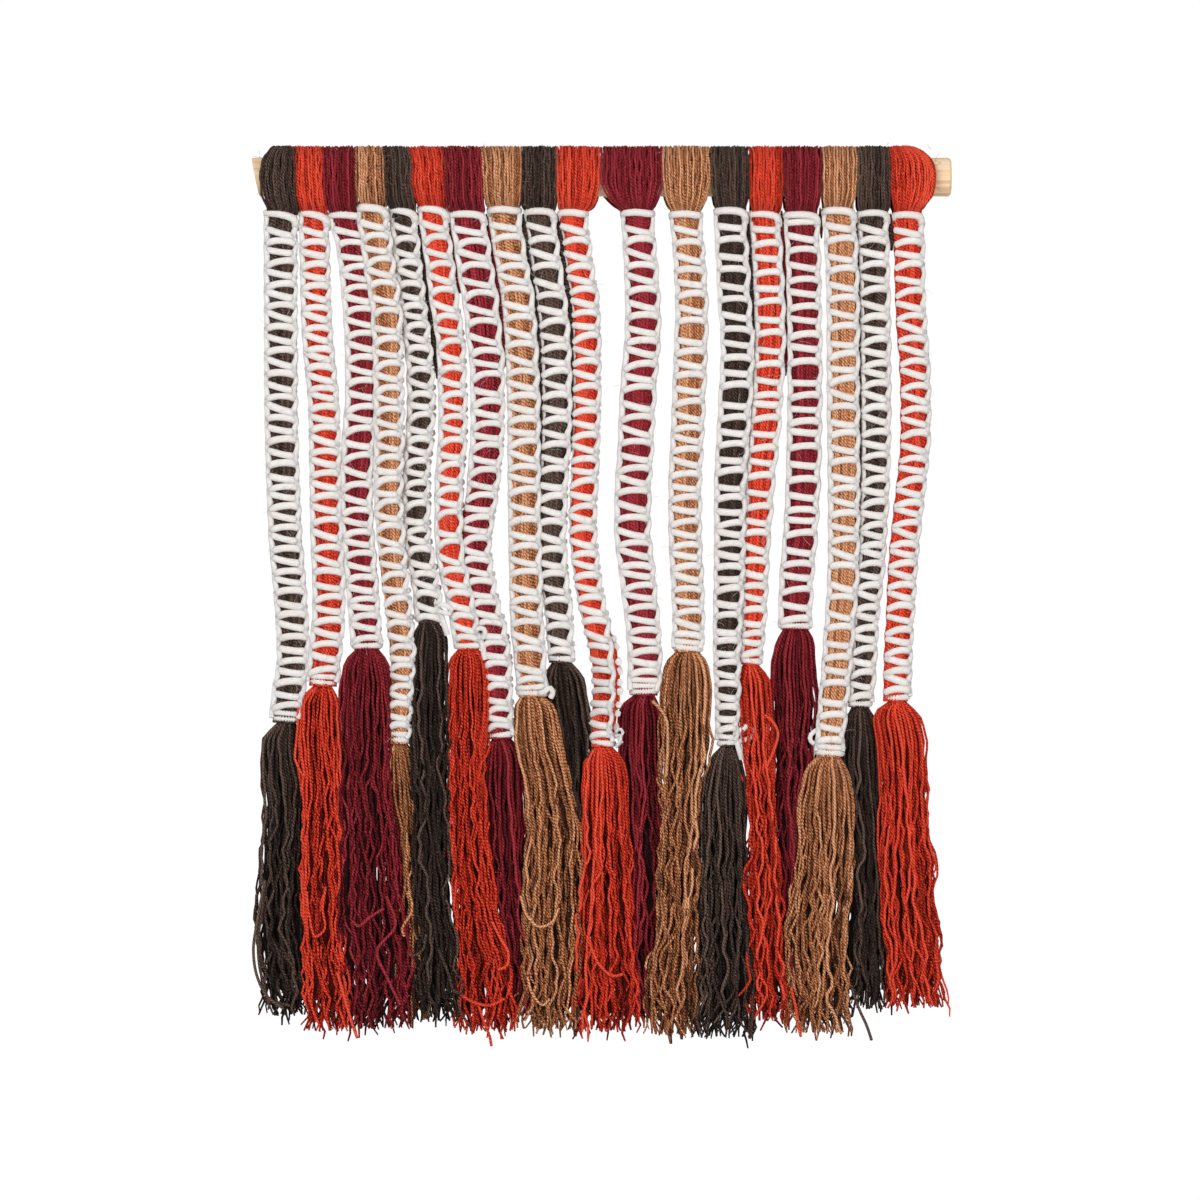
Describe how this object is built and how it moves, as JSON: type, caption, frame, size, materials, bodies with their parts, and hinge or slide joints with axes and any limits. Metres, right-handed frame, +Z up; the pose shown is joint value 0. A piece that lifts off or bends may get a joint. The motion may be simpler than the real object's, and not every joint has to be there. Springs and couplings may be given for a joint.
{
  "type": "knotted yarn wall hanging on a wooden dowel",
  "caption": "Wall hanging of coloured yarn hanks folded over a wooden dowel, each bound in white knotted cord with zigzag bars and ending in a long loose tassel.",
  "frame": {"origin": "on the dowel's axis, at the middle of the hanging's width", "axes": "+Z up, +X along the dowel to the right of someone who faces the hanging, -Y towards them, so the wall is on the +Y side"},
  "size_m": [0.4576, 0.038, 0.5814],
  "materials": {
    "pine_dowel": "sanded bare pine, unvarnished",
    "dark_yarn": "two-ply woollen yarn, dark brown, hairy",
    "red_yarn": "two-ply woollen yarn, orange red",
    "burgundy_yarn": "two-ply woollen yarn, burgundy",
    "tan_yarn": "soft single woollen yarn, tan, wavy",
    "white_cord": "soft felted cord, undyed white, matt"
  },
  "bodies": {
    "root": {"dowel": "pine_dowel", "hank_01": "dark_yarn", "knotting_01": "white_cord", "tassel_01": "dark_yarn", "hank_02": "red_yarn", "knotting_02": "white_cord", "tassel_02": "red_yarn", "hank_03": "burgundy_yarn", "knotting_03": "white_cord", "tassel_03": "burgundy_yarn", "hank_04": "tan_yarn", "knotting_04": "white_cord", "tassel_04": "tan_yarn", "hank_05": "dark_yarn", "knotting_05": "white_cord", "tassel_05": "dark_yarn", "hank_06": "red_yarn", "knotting_06": "white_cord", "tassel_06": "red_yarn", "hank_07": "burgundy_yarn", "knotting_07": "white_cord", "tassel_07": "burgundy_yarn", "hank_08": "tan_yarn", "knotting_08": "white_cord", "tassel_08": "tan_yarn", "hank_09": "dark_yarn", "knotting_09": "white_cord", "tassel_09": "dark_yarn", "hank_10": "red_yarn", "knotting_10": "white_cord", "tassel_10": "red_yarn", "hank_11": "burgundy_yarn", "knotting_11": "white_cord", "tassel_11": "burgundy_yarn", "hank_12": "tan_yarn", "knotting_12": "white_cord", "tassel_12": "tan_yarn", "hank_13": "dark_yarn", "knotting_13": "white_cord", "tassel_13": "dark_yarn", "hank_14": "red_yarn", "knotting_14": "white_cord", "tassel_14": "red_yarn", "hank_15": "burgundy_yarn", "knotting_15": "white_cord", "tassel_15": "burgundy_yarn", "hank_16": "tan_yarn", "knotting_16": "white_cord", "tassel_16": "tan_yarn", "hank_17": "dark_yarn", "knotting_17": "white_cord", "tassel_17": "dark_yarn", "hank_18": "red_yarn", "knotting_18": "white_cord", "tassel_18": "red_yarn"}
  },
  "joints": []
}
